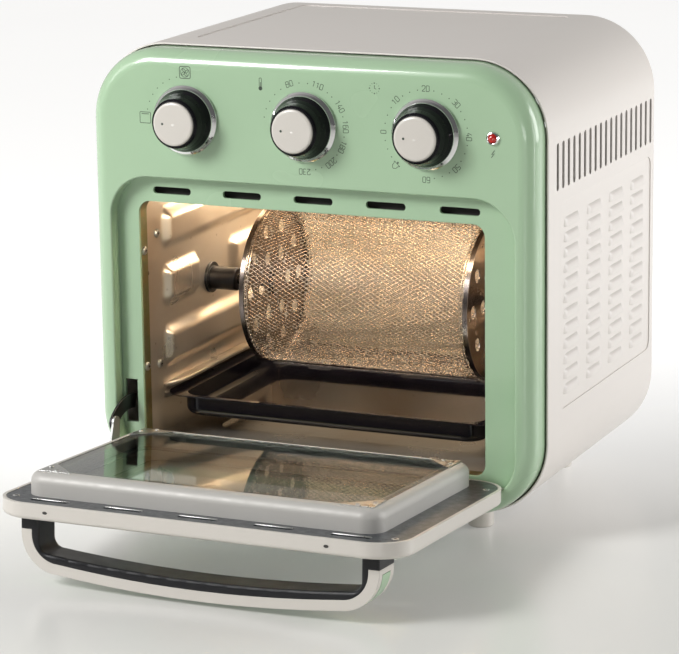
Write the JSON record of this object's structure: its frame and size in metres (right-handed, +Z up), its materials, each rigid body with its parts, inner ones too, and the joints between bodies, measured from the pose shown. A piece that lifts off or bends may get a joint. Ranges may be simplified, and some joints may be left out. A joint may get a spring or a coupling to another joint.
{
  "type": "air fryer oven",
  "caption": "Countertop air fryer oven with a drop-down glass door, bow handle, rotary knobs, wire rotating basket, tray, hot-air fan, vented steel casing and round feet.",
  "frame": {"origin": "on the surface the feet stand on, under the middle of the whole oven with its door hanging open", "axes": "+X to the right as seen from the front, +Y from the open door towards the back of the oven, +Z up"},
  "size_m": [0.35, 0.4637, 0.349],
  "materials": {
    "frame_green": "gloss pastel mint",
    "casing_cream": "satin cream enamel",
    "cream_plastic": "satin-gloss cream",
    "zinc_steel": "zinc plated",
    "cavity_steel": "heat-tinted stainless",
    "passivated_steel": "yellow passivated",
    "element_sheath": "oxidised sheath",
    "bright_wire": "bright wire",
    "basket_steel": "polished stainless",
    "fan_aluminium": "mill finish",
    "motor_steel": "dark laminated core",
    "dark_steel": "blackened",
    "black_enamel": "gloss black enamel",
    "black_plastic": "fine matte",
    "control_metal": "plain steel",
    "knob_chrome": "mirror chrome",
    "lamp_red": "translucent red",
    "plate_grey": "satin blue-grey",
    "pan_satin": "satin stainless",
    "door_glass": "clear toughened",
    "clip_steel": "bright steel"
  },
  "bodies": {
    "oven": {"baking_tray": "black_enamel", "base_plate": "zinc_steel", "body_screws": "zinc_steel", "cavity_back_wall": "cavity_steel", "cavity_floor": "cavity_steel", "cavity_front_flange": "passivated_steel", "cavity_left_wall": "cavity_steel", "cavity_right_wall": "cavity_steel", "cavity_roof": "cavity_steel", "control_bracket": "zinc_steel", "cord_gland": "black_plastic", "fan_guard": "bright_wire", "fan_housing": "zinc_steel", "fan_motor": "motor_steel", "foot_front_left": "cream_plastic", "foot_front_right": "cream_plastic", "foot_rear_left": "cream_plastic", "foot_rear_right": "cream_plastic", "front_frame": "frame_green", "heating_element": "element_sheath", "outer_casing": "casing_cream", "pilot_lamp_bezel": "knob_chrome", "pilot_lamp_lens": "lamp_red", "rear_cover": "casing_cream", "rotisserie_motor": "motor_steel", "selector_switch": "black_plastic", "spit_bearing": "dark_steel", "thermostat": "control_metal", "timer": "control_metal"},
    "door": {"door_frame": "cream_plastic", "door_flange_plate": "plate_grey", "door_pan": "pan_satin", "door_inner_glass": "door_glass", "door_outer_glass": "door_glass", "glass_corner_clips": "clip_steel", "door_rivets": "clip_steel", "door_screws": "clip_steel", "handle_core": "black_plastic", "handle_trim": "cream_plastic", "handle_inlay": "frame_green", "hinge_pins": "control_metal", "hinge_bracket": "zinc_steel", "hinge_link": "dark_steel"},
    "selector": {"selector_knob": "knob_chrome", "selector_knob_cap": "cream_plastic", "selector_knob_shaft": "control_metal"},
    "thermostat_control": {"thermostat_knob": "knob_chrome", "thermostat_knob_cap": "cream_plastic", "thermostat_knob_shaft": "control_metal"},
    "timer_control": {"timer_knob": "knob_chrome", "timer_knob_cap": "cream_plastic", "timer_knob_shaft": "control_metal"},
    "basket": {"basket_mesh": "bright_wire", "basket_left_end": "basket_steel", "basket_right_end": "basket_steel", "basket_latch": "basket_steel"},
    "basket_drive": {"drive_socket": "basket_steel"},
    "fan": {"fan_blade": "fan_aluminium", "cooling_fan": "fan_aluminium", "fan_shaft": "zinc_steel"}
  },
  "joints": [
    {"name": "door_hinge", "type": "hinge", "parent": "oven", "child": "door", "pos_m": [0, -0.0254, 0.0435], "axis": [-1, 0, 0], "range_deg": [0, 86.3]},
    {"name": "selector_turn", "type": "hinge", "parent": "oven", "child": "selector", "pos_m": [-0.0942, -0.031, 0.297], "axis": [0, 1, 0], "range_deg": [0, 90]},
    {"name": "thermostat_turn", "type": "hinge", "parent": "oven", "child": "thermostat_control", "pos_m": [-0.001, -0.031, 0.297], "axis": [0, 1, 0], "range_deg": [0, 270]},
    {"name": "timer_turn", "type": "hinge", "parent": "oven", "child": "timer_control", "pos_m": [0.0922, -0.031, 0.297], "axis": [0, 1, 0], "range_deg": [-45, 270]},
    {"name": "basket_spin", "type": "hinge", "parent": "oven", "child": "basket", "pos_m": [0, 0.099, 0.151], "axis": [1, 0, 0], "continuous": true},
    {"name": "drive_spin", "type": "hinge", "parent": "oven", "child": "basket_drive", "pos_m": [0.117, 0.099, 0.151], "axis": [1, 0, 0], "continuous": true},
    {"name": "fan_spin", "type": "hinge", "parent": "oven", "child": "fan", "pos_m": [-0.0045, 0.097, 0.29], "axis": [0, 0, 1], "continuous": true}
  ],
  "couplings": [
    {"joint": "drive_spin", "follows": "basket_spin", "ratio": 1}
  ]
}
